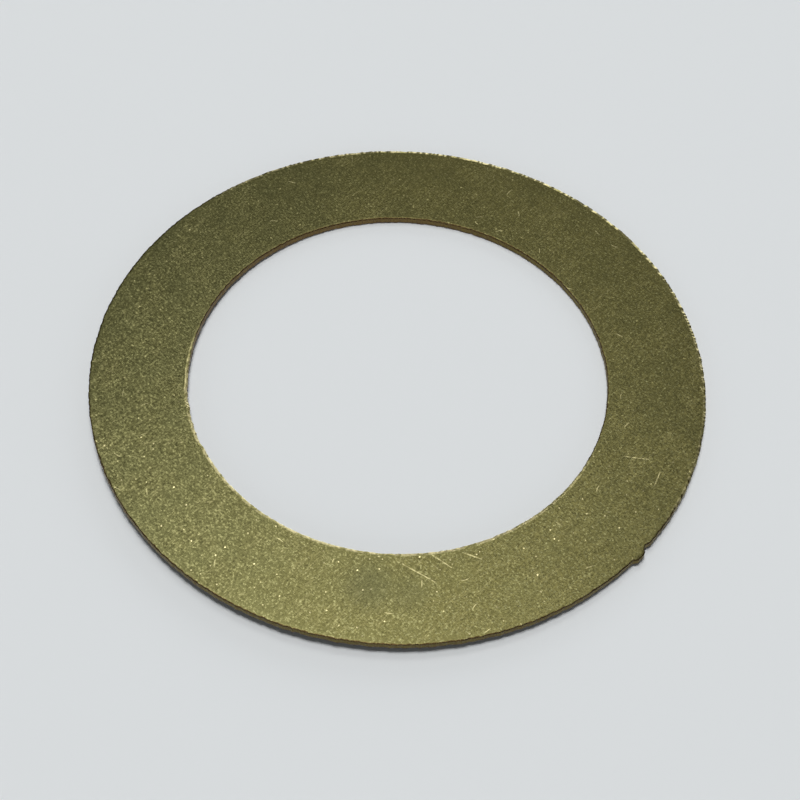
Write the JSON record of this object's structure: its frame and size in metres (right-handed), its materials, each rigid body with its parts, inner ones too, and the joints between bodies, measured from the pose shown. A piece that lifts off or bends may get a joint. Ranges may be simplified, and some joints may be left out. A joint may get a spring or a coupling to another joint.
{
  "type": "flat washer",
  "caption": "Thin flat brass ring washer with a wide plain bore and a small stub of its holding tab on the rim.",
  "frame": {"origin": "on the bore axis, in the plane of the underside", "axes": "+Z along the bore axis, up from the underside to the top face; +X through the tab stub"},
  "size_m": [0.0511, 0.0508, 0.0008],
  "materials": {
    "brass_sheet": "dull rolled sheet, lightly tarnished, with brown cut edges"
  },
  "bodies": {
    "root": {"washer_ring": "brass_sheet"}
  },
  "joints": []
}
